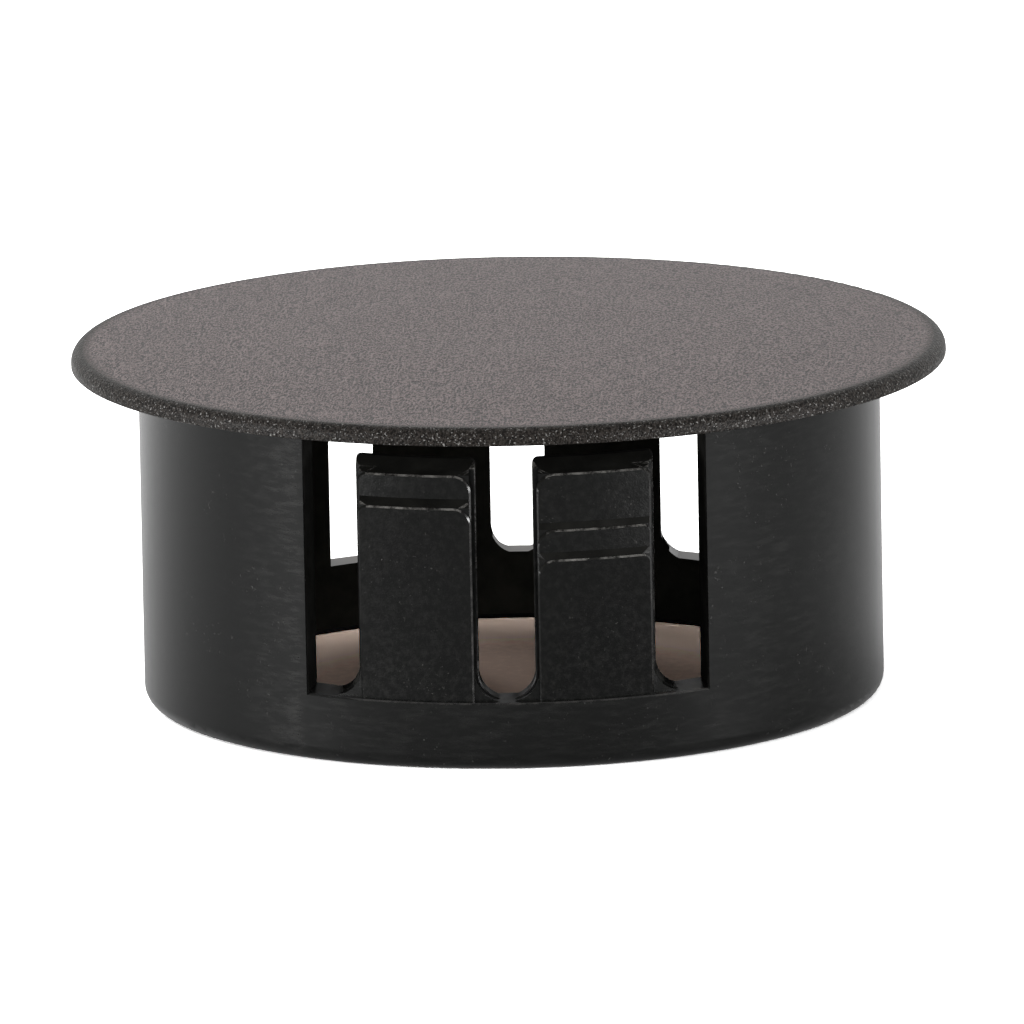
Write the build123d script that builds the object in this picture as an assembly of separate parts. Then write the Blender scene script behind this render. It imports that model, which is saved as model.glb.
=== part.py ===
"""Cover plug: a cap that snaps into a round panel hole, moulded in one piece.

The plug stands on the open rim of its skirt. Lengths are in millimetres, angles in
degrees, radii and heights are taken from the axis and from the plane it stands on.
The origin is the middle of that rim and +Z points up to the head. The two windows
with the spring fingers are centred on -Y and +Y, and one is the other turned by half
a turn about the axis.
"""
import os
from collections import namedtuple
from math import atan, degrees, hypot, radians, sqrt, tan

from build123d import *

# Skirt, the hollow cylinder that goes through the panel
skirt_d = 25.0
wall = 1.35
skirt_h = 11.5
lead_in_round = 0.55
inner_rim_break = 0.2

# Head, the low dome that rests on the panel
head_overhang = 2.25
edge_under_break = 0.03
edge_wall = 0.12
edge_top_round = 0.42
dome_rise = 0.39
dome_rings = (1, 0.7, 0.35)
ceiling_drop = 0.1

# Windows, from the sill on the bottom ring up to the ceiling of the hollow
window_w = 13.36
jamb_draft = 11.0
sill_z = 2.32
sill_fall = 0.06
window_edge_break = 0.05

# Spring fingers, two in each window
slot_w = 1.88
finger_w = 3.98
finger_wall = 0.75
tip_gap = 1.1
tip_slope_rise = 0.26
tip_land = 0.3
tip_corner_round = 0.2
finger_edge_break = 0.04

# Pads on the outside of each finger, whose ledges hold the edge of the hole
pad_inset_inner = 0.15
pad_inset_outer = 0.06
pad_inner_round = 0.6
pad_outer_round = 0.3
pad_edge_break = 0.06
pad_root_inset = 0.12
ledge_flat = 0.1
ledge_slope_rise = 0.22
embed = 0.5

# A step is one pad: the height of its ledge, and how far the ledge's edge and the foot
# of the pad's face stand proud of the skirt
Step = namedtuple("Step", "ledge_z edge_proud foot_proud")
two_step_finger = [Step(10.0, -0.14, -0.10), Step(9.0, 0.36, -0.15)]
three_step_finger = [
    Step(10.02, -0.16, -0.02),
    Step(8.18, 0.14, 0.18),
    Step(7.22, 0.38, -0.15),
]

# Sizes that follow from the ones above
skirt_r = skirt_d / 2
bore_r = skirt_r - wall
head_r = skirt_r + head_overhang
core_r = bore_r + finger_wall
ceiling_z = skirt_h - ceiling_drop
tip_z = skirt_h - tip_gap
tip_foot_z = tip_z - tip_slope_rise
finger_mid = (slot_w + finger_w) / 2
pad_w = finger_w - pad_inset_inner - pad_inset_outer
pad_mid = slot_w / 2 + pad_inset_inner + pad_w / 2
pad_back_r = core_r - finger_wall / 2
near = 0.001


def turned(outline):
    """The solid that an outline in the radius-height plane makes in a full turn."""
    return revolve(Plane.XZ * outline, Axis.Z)


def edges_at(body, radius, low_z, high_z):
    """The edges of a body that run on a cylinder of that radius between two heights."""
    found = []
    for one in body.edges():
        spots = [one @ 0, one @ 0.5, one @ 1]
        on_cylinder = all(abs(hypot(p.X, p.Y) - radius) < near for p in spots)
        between = all(low_z - near < p.Z < high_z + near for p in spots)
        if on_cylinder and between:
            found.append(one)
    return found


def dome_outline(foot_r, foot_z):
    """Points of the dome from its foot to the axis: shallow cones round a flat disc."""
    disc = 1 - dome_rings[-1] ** 2
    rises = [dome_rise * (1 - ring**2) / disc for ring in dome_rings]
    points = [(foot_r * ring, foot_z + rise) for ring, rise in zip(dome_rings, rises)]
    return points + [(0, foot_z + dome_rise)]


def head_and_skirt():
    """The skirt with its rounded lower rim, and the head with its rounded edge."""
    edge_z = skirt_h + edge_under_break
    outer, inner = dome_outline(head_r, 0)[:2]
    dome_slope = degrees(atan((inner[1] - outer[1]) / (outer[0] - inner[0])))
    with BuildSketch() as section:
        with BuildLine():
            Polyline(
                (0, ceiling_z),
                (bore_r, ceiling_z),
                (bore_r, inner_rim_break),
                (bore_r + inner_rim_break, 0),
                (skirt_r - lead_in_round, 0),
            )
            JernArc((skirt_r - lead_in_round, 0), (1, 0), lead_in_round, 90)
            Polyline(
                (skirt_r, lead_in_round),
                (skirt_r, skirt_h),
                (head_r - edge_under_break, skirt_h),
                (head_r, edge_z),
            )
            Line((head_r, edge_z), (head_r, edge_z + edge_wall))
            edge = JernArc(
                (head_r, edge_z + edge_wall), (0, 1), edge_top_round, 90 - dome_slope
            )
            foot = edge @ 1
            Polyline(*dome_outline(foot.X, foot.Y), (0, ceiling_z))
        make_face()
    return turned(section.sketch)


def window_space():
    """The space of both windows: jambs closing in to the axis, outer edges broken."""
    jamb_y = sqrt(skirt_r**2 - (window_w / 2) ** 2)
    side = tan(radians(jamb_draft))
    narrow = window_w / 2 - jamb_y * side
    break_x = window_w / 2 - window_edge_break * side
    break_y = jamb_y - window_edge_break
    wide = break_x + head_r - break_y
    right = [(narrow, 0), (break_x, -break_y), (wide, -head_r)]
    left = [(-x, y) for x, y in reversed(right)]
    plan = make_face(Plane.XY.offset(sill_z - embed) * Polyline(*right, *left, close=True))
    front = extrude(plan, ceiling_z - sill_z + embed)
    reach = make_face(
        Polyline(
            (0, sill_z + sill_fall),
            (bore_r, sill_z + sill_fall),
            (skirt_r - window_edge_break, sill_z),
            (skirt_r + embed, sill_z - window_edge_break - embed),
            (skirt_r + embed, skirt_h),
            (0, skirt_h),
            close=True,
        )
    )
    return (front + Rot(Z=180) * front) & turned(reach)


def bar_front(mid, width, low_z, top_z, inner_round, outer_round):
    """The front outline of a bar, whose top corner next to the middle has its own round."""
    outline = Pos(mid, (top_z + low_z) / 2) * Rectangle(width, top_z - low_z)
    for nearest, radius in ((0, inner_round), (-1, outer_round)):
        top = [corner for corner in outline.vertices() if corner.Y > top_z - near]
        corner = sorted(top, key=lambda one: abs(one.X))[nearest]
        outline = fillet(corner, radius)
    return outline


def root_front(mid, width, root_round):
    """The front outline of a bar's root, which widens in two rounds down to the sill."""
    base_z = sill_z - embed
    height = root_round + embed
    spread = width / 2 + root_round
    outline = Pos(mid, base_z + height / 2) * Rectangle(2 * spread, height)
    for x in (mid - spread, mid + spread):
        outline -= Pos(x, sill_z + root_round) * Circle(root_round)
    return outline


def comb():
    """The inner plates of all four fingers, with round roots and sloping tips."""
    section = make_face(
        Polyline(
            (bore_r, 0),
            (core_r, 0),
            (core_r, tip_foot_z),
            (bore_r + tip_land, tip_z),
            (bore_r, tip_z),
            close=True,
        )
    )
    corners = (tip_corner_round, tip_corner_round)
    fronts = []
    for side in (-1, 1):
        mid = side * finger_mid
        fronts.append(bar_front(mid, finger_w, sill_z - embed, tip_z, *corners))
        fronts.append(root_front(mid, finger_w, slot_w / 2))
    outline = Sketch() + fronts
    plates = extrude(Plane.XZ * outline, head_r, both=True) & turned(section)
    return chamfer(edges_at(plates, core_r, sill_z, tip_foot_z - near), finger_edge_break)


def pad(step, foot_z, side):
    """One pad of the finger on that side, with all edges of its face broken."""
    foot_r = skirt_r + step.foot_proud
    edge_r = skirt_r + step.edge_proud
    lean = (edge_r - foot_r) / (step.ledge_z - foot_z)
    low_z = foot_z - 2 * embed
    high_z = step.ledge_z + embed
    section = make_face(
        Polyline(
            (pad_back_r, low_z),
            (foot_r + lean * (low_z - foot_z), low_z),
            (foot_r + lean * (high_z - foot_z), high_z),
            (pad_back_r, high_z),
            close=True,
        )
    )
    mid = side * pad_mid
    corners = (pad_inner_round, pad_outer_round)
    outline = bar_front(mid, pad_w, foot_z - embed, step.ledge_z, *corners)
    block = extrude(Plane.XZ * outline, head_r) & turned(section)
    face = max(block.faces(), key=lambda one: hypot(one.center().X, one.center().Y))
    rim = [one for one in face.edges() if (one @ 0.5).Z > foot_z + near]
    return chamfer(rim, pad_edge_break)


def pad_root(foot_r, side):
    """The round roots of a finger's lowest pad, set a little behind its face."""
    high_z = sill_z + slot_w
    section = make_face(
        Polyline(
            (pad_back_r, 0),
            (foot_r - pad_root_inset, 0),
            (foot_r - pad_root_inset, high_z),
            (pad_back_r, high_z),
            close=True,
        )
    )
    outline = root_front(side * pad_mid, pad_w, slot_w / 2 + pad_inset_outer)
    return extrude(Plane.XZ * outline, head_r) & turned(section)


def ledge_slope(step, upper_r, top_z, side):
    """The slope that rises from a pad's ledge to the face above it."""
    outer_r = skirt_r + step.edge_proud - ledge_flat
    base_z = step.ledge_z - pad_inner_round
    section = make_face(
        Polyline(
            (pad_back_r, base_z),
            (outer_r, base_z),
            (outer_r, step.ledge_z),
            (upper_r, top_z),
            (pad_back_r, top_z),
            close=True,
        )
    )
    width = pad_w - 2 * pad_edge_break
    low_z = base_z - embed
    corners = (pad_edge_break, pad_edge_break)
    outline = bar_front(side * pad_mid, width, low_z, top_z + embed, *corners)
    return extrude(Plane.XZ * outline, head_r) & turned(section)


def pads(steps, side):
    """All pads of one finger with the slopes on their ledges, from its tip down."""
    made = []
    upper_r = core_r
    top_z = tip_foot_z
    for step, below in zip(steps, steps[1:] + [None]):
        foot_z = below.ledge_z if below else sill_z
        made.append(pad(step, foot_z, side))
        made.append(ledge_slope(step, upper_r, top_z, side))
        upper_r = skirt_r + step.foot_proud
        top_z = foot_z + ledge_slope_rise
    made.append(pad_root(upper_r, side))
    return made


def cover_plug():
    """The whole plug as one solid."""
    front_pads = pads(two_step_finger, -1) + pads(three_step_finger, 1)
    back_pads = [Rot(Z=180) * one for one in front_pads]
    body = head_and_skirt() - window_space() + comb()
    for one in front_pads + back_pads:
        body += one
    return body


if __name__ == "__main__":
    plug = cover_plug()
    plug.label = "cover_plug"
    os.makedirs("parts", exist_ok=True)
    export_step(plug, "parts/cover_plug.step")
    print("solids", len(plug.solids()), "volume", round(plug.volume, 1))
    print("size", plug.bounding_box().size)
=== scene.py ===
"""Studio picture of the cover plug. All lengths are in metres, in the frame of the CAD model:
the plug stands on its open rim at the origin, +Z points to the head, one window faces -Y."""

import math

import bpy
import numpy as np
from mathutils import Matrix, Vector


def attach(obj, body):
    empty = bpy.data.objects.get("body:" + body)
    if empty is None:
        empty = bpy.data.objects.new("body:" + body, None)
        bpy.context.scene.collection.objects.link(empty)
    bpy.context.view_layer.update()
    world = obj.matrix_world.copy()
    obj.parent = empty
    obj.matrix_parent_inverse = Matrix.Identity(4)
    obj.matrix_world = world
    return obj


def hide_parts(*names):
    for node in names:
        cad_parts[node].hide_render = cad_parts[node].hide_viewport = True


MM = 0.001

# Places on the plug that tell its surfaces apart
HEAD_SEAT_Z = 11.5 * MM
RIM_R = 14.32 * MM
SKIRT_R = 12.5 * MM
SILL_Z = 2.32 * MM
CEILING_Z = 11.4 * MM
BORE_R = 11.15 * MM
FINGER_HALF_SPAN = 4.95 * MM
FINGER_TOP_Z = 10.4 * MM
WINDOW_HALF_W = 6.68 * MM
BREAK_WIDTH = 0.1 * MM

# The camera, as it stands in the photograph
CAMERA_DISTANCE = 651.3 * MM
CAMERA_ELEVATION = 12.042
CAMERA_AZIMUTH = 1.15
CAMERA_ROLL = 1.053
CAMERA_AIM = Vector((0.022 * MM, 0.0, 6.145 * MM))
CAMERA_LENS = 678.2

# Colours of the floor: for its light on the plug, in reflections, and to the camera outside
# the plug; inside it, to the camera, a warm painted shade near the axis and painted light at the
# wall
FLOOR_COLOUR = (0.8, 0.8, 0.8)
FLOOR_MIRRORED = (0.66, 0.66, 0.66)
FLOOR_SEEN = (1.65, 1.65, 1.65)
FLOOR_PAINTED_AT_AXIS = (0.75, 0.56, 0.465)
FLOOR_PAINTED_LIGHT_AT_WALL = (8.8, 6.9, 5.7)
FLOOR_HALF = 1.6
FLOOR_PAINTED_LIGHT_FROM_R = 4.5 * MM
FLOOR_OUTSIDE_R = (11.3 * MM, 11.9 * MM)
WORLD_STRENGTH = 0.4

# Angle in degrees above which an edge stays crisp
CRISP_ANGLE = 26

# Stretch and scales of the mould grain
GRAIN_STRETCH = (1, 0.38, 1)
GRAIN_COARSE = 13500.0
GRAIN_FINE = 24000.0

# Lamps: name, place, point they are turned to, size, power, seen in reflections
LAMPS = (
    ("left_rear_box", (-0.13, 0.1, 0.12), (0, 0, 0.01), (0.14, 0.14), 0.45, False),
    ("left_front_box", (-0.66, -0.28, 0.1), (0, 0, 0.01), (0.28, 0.24), 10.0, True),
    ("right_front_box", (0.66, -0.28, 0.1), (0, 0, 0.01), (0.28, 0.24), 8.0, True),
    ("low_front_fill", (0.14, -0.6, 0.2), (0, 0, 0.004), (0.4, 0.3), 3.4, False),
)


def socket_link(tree, source, target):
    """Joins two sockets of a node tree."""
    tree.links.new(source, target)


def new_node(tree, kind, values=None, **settings):
    """A node of a kind, with the given input values and settings."""
    node = tree.nodes.new(kind)
    for name, value in settings.items():
        setattr(node, name, value)
    for name, value in (values or {}).items():
        node.inputs[name].default_value = value
    return node


def math_node(tree, operation, first, second=None, clamp=False):
    """A math node whose inputs are sockets or numbers."""
    node = new_node(tree, "ShaderNodeMath", operation=operation, use_clamp=clamp)
    for slot, value in enumerate((first, second)):
        if value is None:
            continue
        if isinstance(value, (int, float)):
            node.inputs[slot].default_value = value
        else:
            socket_link(tree, value, node.inputs[slot])
    return node.outputs[0]


def new_group(name, outputs):
    """A node group with one number for each named output: (tree, output node)."""
    tree = bpy.data.node_groups.new(name, "ShaderNodeTree")
    for label in outputs:
        tree.interface.new_socket(label, in_out="OUTPUT", socket_type="NodeSocketFloat")
    return tree, tree.nodes.new("NodeGroupOutput")


def mapped_noise(tree, stretch, scale, detail=2.0, roughness=0.55):
    """Noise in object coordinates, stretched along the axes: its value from 0 to 1."""
    place = new_node(tree, "ShaderNodeTexCoord")
    mapping = new_node(tree, "ShaderNodeMapping", {"Scale": stretch})
    noise = new_node(
        tree,
        "ShaderNodeTexNoise",
        {"Scale": scale, "Detail": detail, "Roughness": roughness},
    )
    socket_link(tree, place.outputs["Object"], mapping.inputs["Vector"])
    socket_link(tree, mapping.outputs["Vector"], noise.inputs["Vector"])
    return noise.outputs["Fac"]


def spread(tree, value, low, high, to_low=0.0, to_high=1.0):
    """Maps a value from one range to another, clamped at both ends."""
    node = new_node(
        tree,
        "ShaderNodeMapRange",
        {"From Min": low, "From Max": high, "To Min": to_low, "To Max": to_high},
        clamp=True,
    )
    socket_link(tree, value, node.inputs["Value"])
    return node.outputs["Result"]


def object_axis(tree, axis):
    """One coordinate of the object, in metres."""
    place = new_node(tree, "ShaderNodeTexCoord")
    parts = tree.nodes.new("ShaderNodeSeparateXYZ")
    socket_link(tree, place.outputs["Object"], parts.inputs[0])
    return parts.outputs[axis]


def axis_distance(tree):
    """The distance from the axis of the plug, in metres."""
    across = object_axis(tree, "X")
    along = object_axis(tree, "Y")
    squares = math_node(
        tree,
        "ADD",
        math_node(tree, "MULTIPLY", across, across),
        math_node(tree, "MULTIPLY", along, along),
    )
    return math_node(tree, "SQRT", squares)


def grain_group():
    """Spark-eroded mould grain: a fine height field, with masks for a painted highlight on its
    tops and painted shade in its pits.
    """
    tree, out = new_group("mould_grain", ("Height", "Tops", "Pits"))
    coarse = mapped_noise(tree, GRAIN_STRETCH, GRAIN_COARSE, 1.0, 0.5)
    fine = mapped_noise(tree, GRAIN_STRETCH, GRAIN_FINE, 1.0, 0.5)
    height = math_node(tree, "ADD", coarse, math_node(tree, "MULTIPLY", fine, 0.6))
    socket_link(tree, height, out.inputs["Height"])
    socket_link(tree, spread(tree, height, 0.68, 0.94), out.inputs["Tops"])
    socket_link(tree, spread(tree, height, 0.7, 0.64), out.inputs["Pits"])
    return tree


def speck_group():
    """Fine dust and nicks: sparse small dots, a few of them in patches."""
    tree, out = new_group("dust_specks", ("Specks",))
    dots = spread(tree, mapped_noise(tree, (1, 1, 1), 7000.0, 2.0, 0.7), 0.66, 0.74)
    painted_patches = spread(tree, mapped_noise(tree, (1, 1, 1), 420.0, 2.0, 0.6), 0.46, 0.6)
    socket_link(tree, math_node(tree, "MULTIPLY", dots, painted_patches), out.inputs["Specks"])
    return tree


def brush_group():
    """Short brush marks that run round the skirt, and a soft cloudiness over them."""
    tree, out = new_group("brush_marks", ("Marks", "Cloud"))
    marks = mapped_noise(tree, (0.22, 0.22, 1), 5200.0, 3.0, 0.7)
    socket_link(tree, spread(tree, marks, 0.45, 0.7), out.inputs["Marks"])
    cloud = mapped_noise(tree, (1, 1, 0.5), 520.0, 3.0, 0.6)
    socket_link(tree, spread(tree, cloud, 0.35, 0.65), out.inputs["Cloud"])
    return tree


def add_group(tree, group):
    """A node that uses a group."""
    node = tree.nodes.new("ShaderNodeGroup")
    node.node_tree = group
    return node


def new_material(name):
    """A material with its tree and its shader."""
    material = bpy.data.materials.new(name)
    material.use_nodes = True
    tree = material.node_tree
    return material, tree, tree.nodes["Principled BSDF"]


def colour_mix(tree, factor, low, high):
    """A colour between two, each a colour or a socket, by a factor socket."""
    mix = new_node(tree, "ShaderNodeMix", data_type="RGBA")
    for slot, value in ((6, low), (7, high)):
        if isinstance(value, tuple):
            mix.inputs[slot].default_value = (*value, 1.0)
        else:
            socket_link(tree, value, mix.inputs[slot])
    socket_link(tree, factor, mix.inputs[0])
    return mix.outputs[2]


def bump(tree, height, distance, strength=1.0):
    """A bump normal from a height socket, whose full height is the distance in metres."""
    node = new_node(
        tree, "ShaderNodeBump", {"Distance": distance, "Strength": strength}
    )
    socket_link(tree, height, node.inputs["Height"])
    return node.outputs["Normal"]


def head_material(grain):
    """The grained, matt head, with painted shade where it turns into its rim, a painted
    highlight on the tops of its grain and painted shade in its pits.
    """
    material, tree, shader = new_material("nylon_head")
    node = add_group(tree, grain)
    painted_glint_tops = node.outputs["Tops"]
    # The tops of the grain get a painted highlight
    grained = colour_mix(tree, painted_glint_tops, (0.012, 0.0085, 0.008), (0.11, 0.087, 0.085))
    # Painted shade on the head where it turns into its rim
    rim = spread(tree, axis_distance(tree), 14.05 * MM, 14.35 * MM)
    painted_rim_shade = colour_mix(tree, rim, grained, (0.012, 0.008, 0.006))
    # The pits of the grain get painted shade
    colour = colour_mix(tree, node.outputs["Pits"], painted_rim_shade, (0.006, 0.005, 0.005))
    socket_link(tree, colour, shader.inputs["Base Color"])
    socket_link(
        tree, bump(tree, node.outputs["Height"], 0.12 * MM), shader.inputs["Normal"]
    )
    shader.inputs["Roughness"].default_value = 0.55
    shader.inputs["Specular IOR Level"].default_value = 0.45
    return material


def rim_material(grain):
    """The rounded edge of the head, in a darker painted shade than the head's top, with painted
    glints on a few grains.
    """
    material, tree, shader = new_material("nylon_rim")
    node = add_group(tree, grain)
    # Painted glints on a few grains of the rim
    painted_glints = spread(tree, mapped_noise(tree, (1, 1, 1), 14000.0, 1.0, 0.5), 0.63, 0.74)
    painted_glint_tops = node.outputs["Tops"]
    # The rim's grain is a darker copy of the head's: painted shade
    grained = colour_mix(tree, painted_glint_tops, (0.0014, 0.0011, 0.0008), (0.014, 0.012, 0.0105))
    colour = colour_mix(tree, painted_glints, grained, (0.12, 0.118, 0.113))
    socket_link(tree, colour, shader.inputs["Base Color"])
    socket_link(
        tree, bump(tree, node.outputs["Height"], 0.03 * MM), shader.inputs["Normal"]
    )
    shader.inputs["Roughness"].default_value = 0.4
    shader.inputs["Specular IOR Level"].default_value = 0.07
    return material


def skirt_material(brush, specks):
    """The satin skirt, with faint brush marks all round and lighter ones in a band beside the
    window on its -X side.
    """
    material, tree, shader = new_material("nylon_skirt")
    node = add_group(tree, brush)
    rough = spread(tree, node.outputs["Marks"], 0.0, 1.0, 0.25, 0.265)
    socket_link(tree, rough, shader.inputs["Roughness"])
    across = object_axis(tree, "X")
    patch = math_node(
        tree,
        "MULTIPLY",
        spread(tree, across, -6.7 * MM, -7.0 * MM, 0.3, 1.0),
        spread(tree, across, -9.2 * MM, -6.9 * MM),
    )
    marks = spread(tree, node.outputs["Marks"], 0.0, 1.0, 0.12, 1.0)
    cloud = spread(tree, node.outputs["Cloud"], 0.0, 1.0, 0.4, 1.0)
    light = math_node(tree, "MULTIPLY", marks, math_node(tree, "MULTIPLY", patch, 0.2))
    light = math_node(tree, "MULTIPLY", light, cloud)
    faint = math_node(tree, "MULTIPLY", node.outputs["Marks"], 0.004)
    dots = math_node(tree, "MULTIPLY", add_group(tree, specks).outputs["Specks"], 0.4)
    light = math_node(tree, "ADD", math_node(tree, "ADD", light, faint), dots, clamp=True)
    colour = colour_mix(tree, light, (0.0014, 0.0015, 0.0014), (0.06, 0.059, 0.057))
    socket_link(tree, colour, shader.inputs["Base Color"])
    shader.inputs["Specular IOR Level"].default_value = 0.14
    return material


def finger_material(grain, specks):
    """The spring fingers, with their pads, their mottle darkened towards the head as painted
    shade.
    """
    material, tree, shader = new_material("nylon_finger")
    mottle = mapped_noise(tree, (1, 1, 1), 4600.0, 3.0, 0.7)
    # Painted shade: the mottle is darker high up under the head and lighter low down
    painted_shade_by_height = spread(tree, object_axis(tree, "Z"), 6.5 * MM, 3.0 * MM, 0.03, 0.05)
    shade = math_node(tree, "MULTIPLY", spread(tree, mottle, 0.45, 0.7), painted_shade_by_height)
    dots = math_node(tree, "MULTIPLY", add_group(tree, specks).outputs["Specks"], 0.35)
    light = math_node(tree, "ADD", shade, dots, clamp=True)
    colour = colour_mix(tree, light, (0.0006, 0.0007, 0.0006), (0.06, 0.058, 0.055))
    socket_link(tree, colour, shader.inputs["Base Color"])
    rough = spread(tree, mottle, 0.3, 0.7, 0.28, 0.42)
    socket_link(tree, rough, shader.inputs["Roughness"])
    node = add_group(tree, grain)
    socket_link(
        tree, bump(tree, node.outputs["Height"], 0.006 * MM), shader.inputs["Normal"]
    )
    shader.inputs["Specular IOR Level"].default_value = 0.13
    return material


def edge_material(name, low, high):
    """The broken edges of fingers, windows and ledges, lightened in broken patches as a painted
    highlight, with a wear noise that also varies their roughness.
    """
    material, tree, shader = new_material(name)
    wear_and_highlight = mapped_noise(tree, (1, 1, 1), 2600.0, 3.0, 0.7)
    colour = colour_mix(tree, spread(tree, wear_and_highlight, 0.4, 0.75), low, high)
    socket_link(tree, colour, shader.inputs["Base Color"])
    rough = spread(tree, wear_and_highlight, 0.35, 0.7, 0.2, 0.34)
    socket_link(tree, rough, shader.inputs["Roughness"])
    shader.inputs["Specular IOR Level"].default_value = 0.4
    return material


def sill_material():
    """The sill on the bottom ring, with patches of painted light at its ends and painted light
    that grows towards the back.
    """
    material, tree, shader = new_material("nylon_sill")
    cloud = mapped_noise(tree, (1, 1, 1), 1100.0, 3.0, 0.6)
    # Patches of painted light near both ends of the sill
    painted_patches = spread(tree, cloud, 0.52, 0.6)
    across = object_axis(tree, "X")
    right_end = spread(tree, across, 4.9 * MM, 5.4 * MM)
    left_end = spread(tree, across, -5.5 * MM, -5.8 * MM)
    ends = math_node(tree, "MAXIMUM", right_end, left_end)
    painted_patches = math_node(tree, "MULTIPLY", spread(tree, painted_patches, 0.0, 1.0, 0.0, 0.4), ends)
    # Painted light, growing from the front of the plug to the back
    painted_back_light = spread(tree, object_axis(tree, "Y"), -5.0 * MM, 5.0 * MM)
    light = math_node(tree, "MAXIMUM", painted_patches, painted_back_light)
    shade = colour_mix(tree, light, (0.003, 0.003, 0.0028), (0.04, 0.034, 0.027))
    socket_link(tree, shade, shader.inputs["Base Color"])
    shader.inputs["Roughness"].default_value = 0.4
    shader.inputs["Specular IOR Level"].default_value = 0.3
    return material


def plain_material(name, colour, roughness, specular):
    """An even surface with a slight cloudiness in its colour."""
    material, tree, shader = new_material(name)
    cloud = mapped_noise(tree, (1, 1, 1), 900.0, 3.0, 0.6)
    darker = tuple(0.7 * value for value in colour)
    lighter = tuple(1.3 * value for value in colour)
    shade = colour_mix(tree, spread(tree, cloud, 0.35, 0.65), darker, lighter)
    socket_link(tree, shade, shader.inputs["Base Color"])
    shader.inputs["Roughness"].default_value = roughness
    shader.inputs["Specular IOR Level"].default_value = specular
    return material


def merged_copy(node):
    """The surface of a CAD node with its loose triangles joined at their corners: corners
    that agree to a tenth of a micrometre become one."""
    mesh = node.data
    points = np.empty(len(mesh.vertices) * 3, np.float32)
    mesh.vertices.foreach_get("co", points)
    corners = np.empty(len(mesh.loops), np.int32)
    mesh.loops.foreach_get("vertex_index", corners)
    points = points.reshape(-1, 3)
    keys = np.round(points.astype(np.float64) / (0.0001 * MM)).astype(np.int64)
    _, first, group = np.unique(keys, axis=0, return_index=True, return_inverse=True)
    triangles = group.reshape(-1)[corners].reshape(-1, 3)
    a, b, c = triangles.T
    triangles = triangles[(a != b) & (b != c) & (c != a)]
    skin = bpy.data.meshes.new("cover_plug_skin")
    skin.from_pydata(points[first].tolist(), [], triangles.tolist())
    skin.update()
    piece = bpy.data.objects.new("cover_plug_skin", skin)
    bpy.context.scene.collection.objects.link(piece)
    return piece


def face_values(mesh):
    """Centre, normal and the smallest height of each triangle of a mesh."""
    count = len(mesh.polygons)
    centres = np.empty(count * 3, np.float32)
    normals = np.empty(count * 3, np.float32)
    areas = np.empty(count, np.float32)
    points = np.empty(len(mesh.vertices) * 3, np.float32)
    corners = np.empty(len(mesh.loops), np.int32)
    mesh.polygons.foreach_get("center", centres)
    mesh.polygons.foreach_get("normal", normals)
    mesh.polygons.foreach_get("area", areas)
    mesh.vertices.foreach_get("co", points)
    mesh.loops.foreach_get("vertex_index", corners)
    spots = points.reshape(-1, 3)[corners.reshape(-1, 3)]
    sides = np.linalg.norm(spots - np.roll(spots, 1, axis=1), axis=2)
    heights = 2 * areas / np.maximum(sides.max(axis=1), 1e-9)
    return centres.reshape(-1, 3), normals.reshape(-1, 3), heights


def dress(piece, materials):
    """Gives each face of the plug the material of the surface that it belongs to."""
    mesh = piece.data
    for material in materials:
        mesh.materials.append(material)
    order = {material.name: place for place, material in enumerate(materials)}
    centres, normals, heights = face_values(mesh)
    x, y, z = centres.T
    radius = np.hypot(x, y)
    outward = (x * normals[:, 0] + y * normals[:, 1]) / np.maximum(radius, MM)
    index = np.full(len(x), order["nylon_skirt"], np.int32)
    in_window = (abs(x) < WINDOW_HALF_W + 0.1 * MM) & (z > SILL_Z - 0.1 * MM)
    past_bore = radius > BORE_R + 0.02 * MM
    in_wall = in_window & past_bore & (radius < SKIRT_R - 0.02 * MM)
    index[in_wall & (abs(normals[:, 0]) > 0.75)] = order["nylon_jamb"]
    fingers = (abs(x) < FINGER_HALF_SPAN) & (z > SILL_Z) & (z < FINGER_TOP_Z + 0.1 * MM)
    index[fingers & past_bore] = order["nylon_finger"]
    flank = fingers & past_bore & (abs(outward) < 0.35)
    index[flank] = order["nylon_jamb"]
    rounds = flank & (normals[:, 2] > 0.3) & (z < SILL_Z + 1.2 * MM)
    index[rounds] = order["nylon_sill"]
    tilted = fingers & (normals[:, 2] > 0.2) & (normals[:, 2] < 0.97) & (outward > 0.2)
    index[tilted & (z > 0.5 * (SILL_Z + FINGER_TOP_Z))] = order["nylon_groove"]
    level = in_window & (abs(z - SILL_Z) < 0.07 * MM) & (normals[:, 2] > 0.8)
    index[level] = order["nylon_sill"]
    wall = (radius < BORE_R + 0.01 * MM) & (outward < -0.5)
    ceiling = (abs(z - CEILING_Z) < 0.01 * MM) & (normals[:, 2] < -0.5)
    index[wall | ceiling] = order["nylon_inside"]
    # Narrow chamfers of the window's edges get a painted highlight, the upward ones on the
    # ledges a brighter one
    broken = (heights < BREAK_WIDTH) & (outward > 0.3) & (outward < 0.95)
    broken &= (z > SILL_Z + 1.4 * MM) | (z < SILL_Z + 0.03 * MM)
    broken &= in_window & (radius > BORE_R + 0.5 * MM) & (normals[:, 0] > -0.3)
    index[broken] = order["nylon_edge"]
    index[broken & (normals[:, 2] > 0.6) & (z > SILL_Z + MM)] = order["nylon_ledge"]
    top = z > HEAD_SEAT_Z - 0.01 * MM
    index[top] = order["nylon_head"]
    index[top & (radius > RIM_R) & (normals[:, 2] < 0.998)] = order["nylon_rim"]
    mesh.polygons.foreach_set("material_index", index)
    mesh.update()


def seen_rays(tree):
    """1 for the rays that show a backdrop as it is painted: camera, glossy, transmission."""
    path = tree.nodes.new("ShaderNodeLightPath")
    mirrored = math_node(
        tree, "MAXIMUM", path.outputs["Is Glossy Ray"], path.outputs["Is Transmission Ray"]
    )
    return path.outputs["Is Camera Ray"], mirrored


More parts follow.
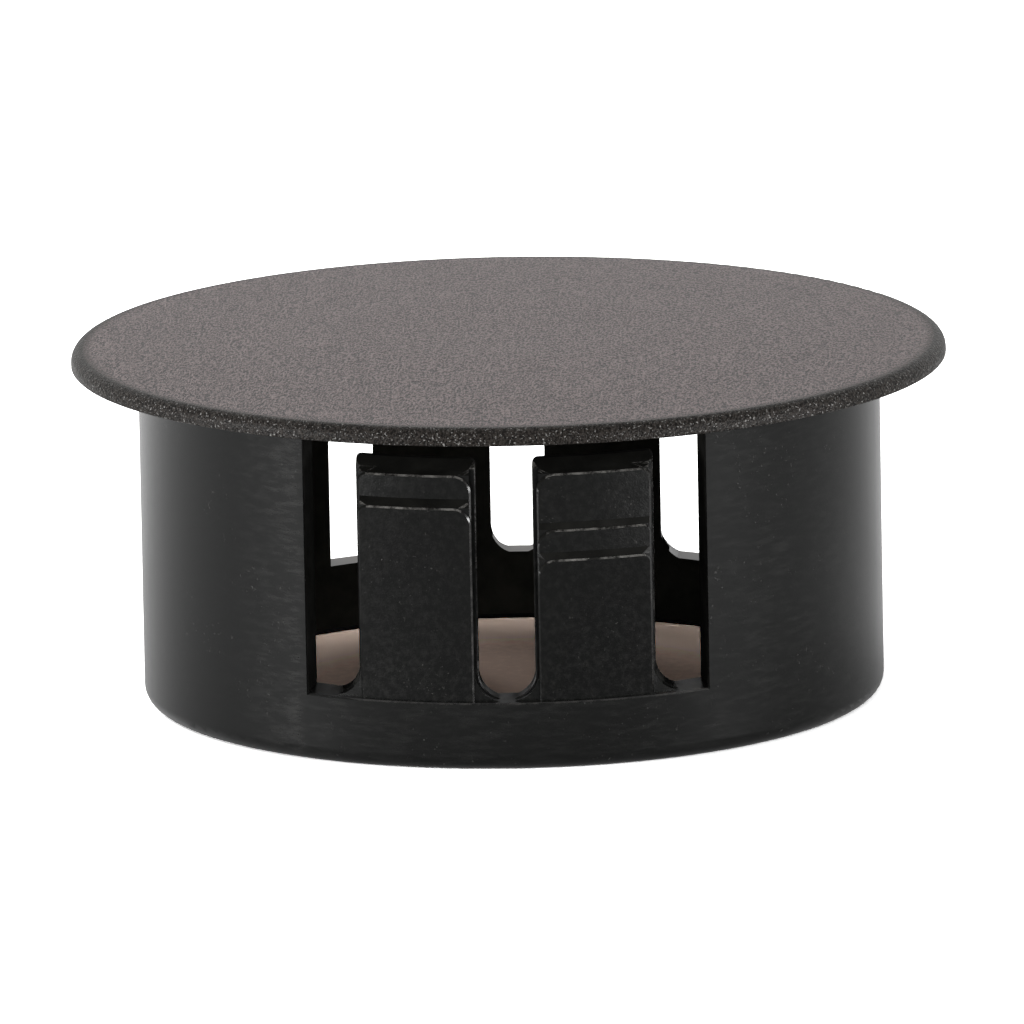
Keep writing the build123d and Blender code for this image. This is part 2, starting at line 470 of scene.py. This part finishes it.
def floor_material():
    """A pale floor, white to the camera round the plug; inside it, to the camera, a warm painted
    shade near the axis that grows into painted light at the wall.
    """
    material, tree, shader = new_material("floor_white")
    camera, mirrored = seen_rays(tree)
    colour = colour_mix(tree, mirrored, FLOOR_COLOUR, FLOOR_MIRRORED)
    radius = axis_distance(tree)
    mottle = mapped_noise(tree, (1, 1, 1), 2600.0, 3.0, 0.7)
    # Painted light on the floor inside the plug: it grows from the axis out to the wall
    outwards = spread(tree, radius, FLOOR_PAINTED_LIGHT_FROM_R, BORE_R)
    painted_light_ramp = math_node(tree, "POWER", outwards, 4.0)
    painted_light_ramp = math_node(tree, "ADD", painted_light_ramp, spread(tree, mottle, 0.3, 0.7, -0.012, 0.012))
    inside = colour_mix(tree, painted_light_ramp, FLOOR_PAINTED_AT_AXIS, FLOOR_PAINTED_LIGHT_AT_WALL)
    outside = spread(tree, radius, *FLOOR_OUTSIDE_R)
    shown = colour_mix(tree, outside, inside, FLOOR_SEEN)
    seen = colour_mix(tree, camera, colour, shown)
    socket_link(tree, seen, shader.inputs["Base Color"])
    shader.inputs["Roughness"].default_value = 0.9
    shader.inputs["Specular IOR Level"].default_value = 0.0
    return material


def add_floor():
    """The plane that the plug stands on."""
    half = FLOOR_HALF
    mesh = bpy.data.meshes.new("floor")
    corners = [(-half, -half, 0), (half, -half, 0), (half, half, 0), (-half, half, 0)]
    mesh.from_pydata(corners, [], [(0, 1, 2, 3)])
    floor = bpy.data.objects.new("floor", mesh)
    bpy.context.scene.collection.objects.link(floor)
    mesh.materials.append(floor_material())


def add_area_light(name, place, aim, size, power, mirrored):
    """A rectangular soft light at a place, turned to a point, seen in reflections or not."""
    data = bpy.data.lights.new(name, "AREA")
    data.shape = "RECTANGLE"
    data.size = size[0]
    data.size_y = size[1]
    data.energy = power
    light = bpy.data.objects.new(name, data)
    light.location = place
    light.rotation_euler = (Vector(aim) - Vector(place)).to_track_quat("-Z", "Y").to_euler()
    light.visible_glossy = mirrored
    bpy.context.scene.collection.objects.link(light)


def add_world(strength):
    """Even white light from all round, plain white to the camera."""
    world = bpy.data.worlds.new("studio")
    bpy.context.scene.world = world
    world.use_nodes = True
    tree = world.node_tree
    background = tree.nodes["Background"]
    camera, mirrored = seen_rays(tree)
    seen = math_node(tree, "MAXIMUM", camera, mirrored)
    level = math_node(tree, "MULTIPLY", seen, 1.0 - strength)
    socket_link(tree, math_node(tree, "ADD", level, strength), background.inputs["Strength"])
    background.inputs["Color"].default_value = (1, 1, 1, 1)


def add_camera():
    """The camera of the photograph, a long lens a little above the head."""
    elevation = math.radians(CAMERA_ELEVATION)
    azimuth = math.radians(CAMERA_AZIMUTH)
    roll = math.radians(CAMERA_ROLL)
    back = Vector(
        (
            math.cos(elevation) * math.sin(azimuth),
            -math.cos(elevation) * math.cos(azimuth),
            math.sin(elevation),
        )
    )
    level_right = Vector((0, 0, 1)).cross(back).normalized()
    level_up = back.cross(level_right)
    right = level_right * math.cos(roll) - level_up * math.sin(roll)
    up = level_right * math.sin(roll) + level_up * math.cos(roll)
    data = bpy.data.cameras.new("camera")
    data.sensor_width = 36.0
    data.lens = CAMERA_LENS
    data.clip_start = 0.01
    data.clip_end = 20.0
    camera = bpy.data.objects.new("camera", data)
    turn = Matrix((right, up, back)).transposed()
    camera.matrix_world = Matrix.Translation(CAMERA_AIM + back * CAMERA_DISTANCE) @ turn.to_4x4()
    bpy.context.scene.collection.objects.link(camera)
    bpy.context.scene.camera = camera


def smooth(piece):
    """Smooth shading over the rounds and the dome, with crisp flat faces."""
    piece.data.shade_smooth()
    piece.data.set_sharp_from_angle(angle=math.radians(CRISP_ANGLE))
    weighted = piece.modifiers.new("weighted_normals", "WEIGHTED_NORMAL")
    weighted.mode = "FACE_AREA"
    weighted.weight = 50
    weighted.keep_sharp = True


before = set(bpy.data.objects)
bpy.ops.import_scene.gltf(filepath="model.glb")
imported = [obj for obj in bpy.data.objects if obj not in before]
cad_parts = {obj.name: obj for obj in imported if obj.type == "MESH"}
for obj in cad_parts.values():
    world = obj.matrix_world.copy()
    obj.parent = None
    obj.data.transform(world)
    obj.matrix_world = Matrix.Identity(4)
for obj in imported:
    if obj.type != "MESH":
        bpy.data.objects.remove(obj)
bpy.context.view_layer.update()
scene = bpy.context.scene
scene.view_settings.view_transform = "Standard"
grain = grain_group()
specks = speck_group()
brush = brush_group()
skin = merged_copy(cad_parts["cover_plug"])
dress(
    skin,
    [
        head_material(grain),
        rim_material(grain),
        skirt_material(brush, specks),
        finger_material(grain, specks),
        # Painted highlights along the broken edges, brighter on the upward ledges
        edge_material("nylon_edge", (0.0015, 0.0015, 0.0015), (0.016, 0.015, 0.014)),
        edge_material("nylon_ledge", (0.006, 0.006, 0.0055), (0.09, 0.087, 0.082)),
        sill_material(),
        # Slopes of the finger steps: a dark copy of the nylon with almost no reflection, as
        # painted shade
        plain_material("nylon_groove", (0.004, 0.004, 0.0036), 0.6, 0.02),
        # Jambs and finger flanks: a copy of the nylon with no reflection, kept dark as painted
        # shade
        plain_material("nylon_jamb", (0.008, 0.008, 0.0075), 0.6, 0.0),
        # Inside of the bore and the ceiling: the nylon lightened as painted light in the hollow
        plain_material("nylon_inside", (0.017, 0.016, 0.013), 0.5, 0.1),
    ],
)
smooth(skin)
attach(skin, "root")
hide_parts("cover_plug")
add_floor()
add_world(WORLD_STRENGTH)
for lamp in LAMPS:
    add_area_light(*lamp)
add_camera()
